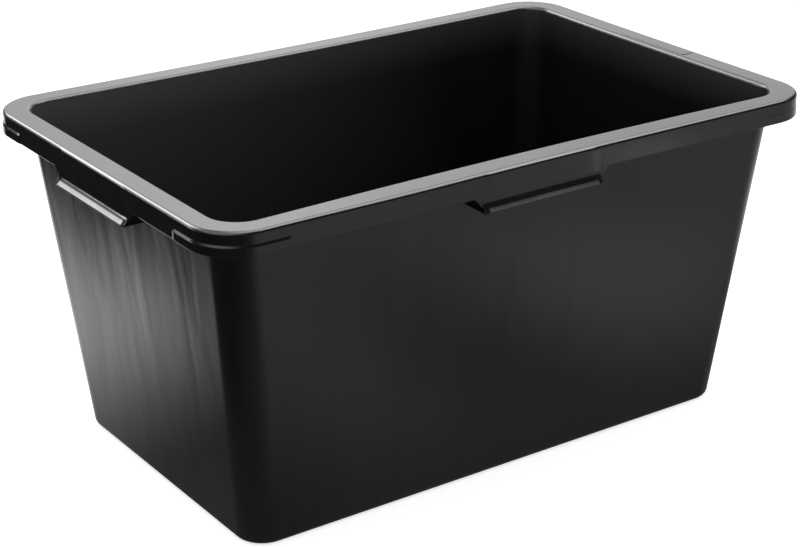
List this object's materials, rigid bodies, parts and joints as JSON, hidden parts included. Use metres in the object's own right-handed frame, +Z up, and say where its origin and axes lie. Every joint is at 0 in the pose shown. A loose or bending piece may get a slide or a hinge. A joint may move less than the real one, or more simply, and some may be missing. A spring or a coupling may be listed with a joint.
{
  "type": "mortar mixing tub",
  "caption": "Black rectangular mortar mixing tub, open at the top, with tapered walls, a flat turned-out rim with a skirt, and a flared grip apron on each side.",
  "frame": {"origin": "middle of the underside of the base, on the ground", "axes": "+X along the long sides, -Y towards the front long side, +Z up"},
  "size_m": [0.762, 0.504, 0.3706],
  "materials": {
    "floor_plastic": "black polyethylene, satin as moulded",
    "wall_plastic": "black polyethylene, satin, faintly streaked from the mould",
    "rim_plastic": "black polyethylene, smooth satin",
    "skirt_plastic": "black polyethylene, smooth satin",
    "grip_plastic": "black polyethylene, smooth satin"
  },
  "bodies": {
    "root": {"floor_panel": "floor_plastic", "front_wall": "wall_plastic", "right_wall": "wall_plastic", "rear_wall": "wall_plastic", "left_wall": "wall_plastic", "front_left_corner": "wall_plastic", "front_right_corner": "wall_plastic", "rear_right_corner": "wall_plastic", "rear_left_corner": "wall_plastic", "front_rim": "rim_plastic", "right_rim": "rim_plastic", "rear_rim": "rim_plastic", "left_rim": "rim_plastic", "front_left_rim_corner": "rim_plastic", "front_right_rim_corner": "rim_plastic", "rear_right_rim_corner": "rim_plastic", "rear_left_rim_corner": "rim_plastic", "front_skirt": "skirt_plastic", "right_skirt": "skirt_plastic", "rear_skirt": "skirt_plastic", "left_skirt": "skirt_plastic", "front_left_skirt_corner": "skirt_plastic", "front_right_skirt_corner": "skirt_plastic", "rear_right_skirt_corner": "skirt_plastic", "rear_left_skirt_corner": "skirt_plastic", "front_grip": "grip_plastic", "right_grip": "grip_plastic", "rear_grip": "grip_plastic", "left_grip": "grip_plastic", "front_grip_webs": "grip_plastic", "right_grip_webs": "grip_plastic", "rear_grip_webs": "grip_plastic", "left_grip_webs": "grip_plastic", "label_pad": "rim_plastic"}
  },
  "joints": []
}
